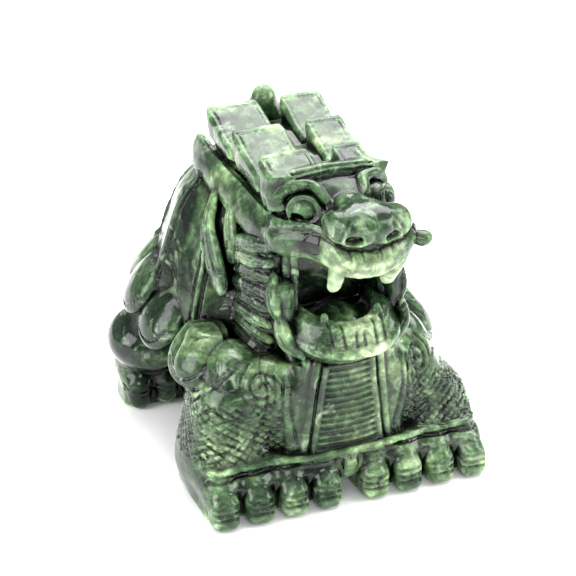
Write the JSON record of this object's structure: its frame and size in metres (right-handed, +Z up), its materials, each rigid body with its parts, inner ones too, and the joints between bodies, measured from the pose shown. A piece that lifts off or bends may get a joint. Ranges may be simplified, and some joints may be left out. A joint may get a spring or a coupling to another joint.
{
  "type": "dragon turtle figurine",
  "caption": "Carved jade figurine of a crouching dragon-headed turtle with an open mouth, stepped crest, domed shell and four clawed feet.",
  "frame": {"origin": "middle of the footprint, on the surface the figurine stands on", "axes": "+Z up, -Y towards the face, +X to the creature's left; the figurine is longest along Y and narrowest along X"},
  "size_m": [0.0924, 0.1, 0.096],
  "materials": {
    "jade": "polished, mottled green nephrite"
  },
  "bodies": {
    "root": {"brow": "jade", "carapace": "jade", "cheek_leaves_left": "jade", "cheek_leaves_right": "jade", "chest_plate": "jade", "crest_block_left_1": "jade", "crest_block_left_2": "jade", "crest_block_left_3": "jade", "crest_block_right_1": "jade", "crest_block_right_2": "jade", "crest_block_right_3": "jade", "crest_knob": "jade", "eye_left": "jade", "eye_right": "jade", "fore_foot_left": "jade", "fore_foot_right": "jade", "fore_leg_left": "jade", "fore_leg_right": "jade", "fore_toes_left": "jade", "fore_toes_right": "jade", "hind_foot_left": "jade", "hind_foot_right": "jade", "hind_leg_left": "jade", "hind_leg_right": "jade", "horn_left": "jade", "horn_right": "jade", "jaw_web_left": "jade", "jaw_web_right": "jade", "lip_whisker_left": "jade", "lip_whisker_right": "jade", "lower_jaw": "jade", "lower_teeth": "jade", "mane_left": "jade", "mane_locks_left": "jade", "mane_locks_right": "jade", "mane_right": "jade", "marginal_scute_left_1": "jade", "marginal_scute_left_2": "jade", "marginal_scute_left_3": "jade", "marginal_scute_left_4": "jade", "marginal_scute_left_5": "jade", "marginal_scute_left_6": "jade", "marginal_scute_right_1": "jade", "marginal_scute_right_2": "jade", "marginal_scute_right_3": "jade", "marginal_scute_right_4": "jade", "marginal_scute_right_5": "jade", "marginal_scute_right_6": "jade", "muzzle": "jade", "neck": "jade", "nose": "jade", "plastron": "jade", "plastron_boss": "jade", "skull": "jade", "tail": "jade", "tongue": "jade", "torso": "jade", "upper_fangs": "jade", "upper_lip": "jade"}
  },
  "joints": []
}
